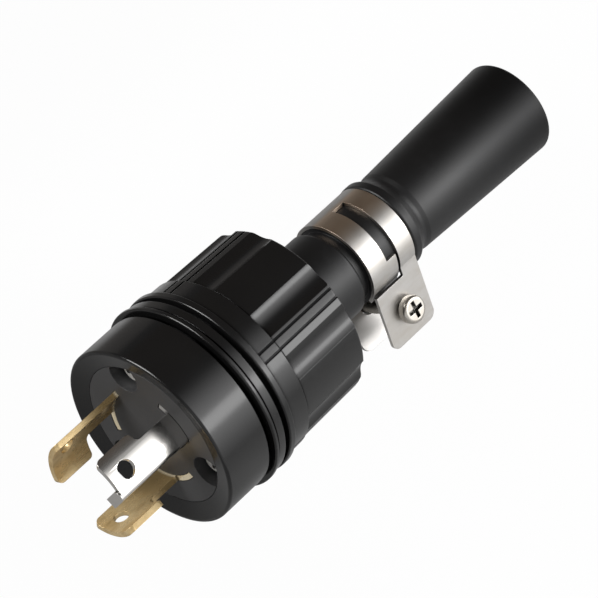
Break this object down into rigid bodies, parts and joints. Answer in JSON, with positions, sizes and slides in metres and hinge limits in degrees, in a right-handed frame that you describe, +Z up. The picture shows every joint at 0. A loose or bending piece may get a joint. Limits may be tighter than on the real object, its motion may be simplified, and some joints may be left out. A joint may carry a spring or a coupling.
{
  "type": "locking plug",
  "caption": "Black round locking plug with hooked arc blades, a fluted grip and a rubber cord boot held by a strap clamp.",
  "frame": {"origin": "on the floor under the middle of the plug as it lies", "axes": "+X towards the blades and +Z up; the plug's own axis rises a few degrees towards the blades"},
  "size_m": [0.142, 0.047, 0.0472],
  "materials": {
    "shell_black": "glossy moulded resin",
    "plate_black": "semi-gloss moulded resin",
    "ring_black": "glossy moulded resin",
    "cover_black": "glossy moulded resin",
    "boot_rubber": "matte moulded rubber",
    "clamp_nickel": "satin nickel plate on steel strip",
    "screw_nickel": "bright plated steel",
    "blade_brass": "dull tarnished brass",
    "earth_nickel": "bright nickel plate on brass",
    "terminal_brass": "plain brass",
    "terminal_steel": "zinc plate on steel",
    "assembly_steel": "zinc plate on steel"
  },
  "bodies": {
    "root": {"front_shell": "shell_black", "face_plate": "plate_black", "middle_ring": "ring_black", "rear_cover": "cover_black", "boot": "boot_rubber", "clamp_band": "clamp_nickel", "clamp_screw": "screw_nickel", "line_blade_1": "blade_brass", "line_blade_2": "blade_brass", "earth_blade": "earth_nickel", "terminal_plate_1": "terminal_brass", "terminal_screw_1": "terminal_steel", "assembly_screw_1": "assembly_steel", "insert_1": "terminal_brass", "terminal_plate_2": "terminal_brass", "terminal_screw_2": "terminal_steel", "assembly_screw_2": "assembly_steel", "insert_2": "terminal_brass", "terminal_plate_3": "terminal_brass", "terminal_screw_3": "terminal_steel", "assembly_screw_3": "assembly_steel", "insert_3": "terminal_brass"}
  },
  "joints": []
}
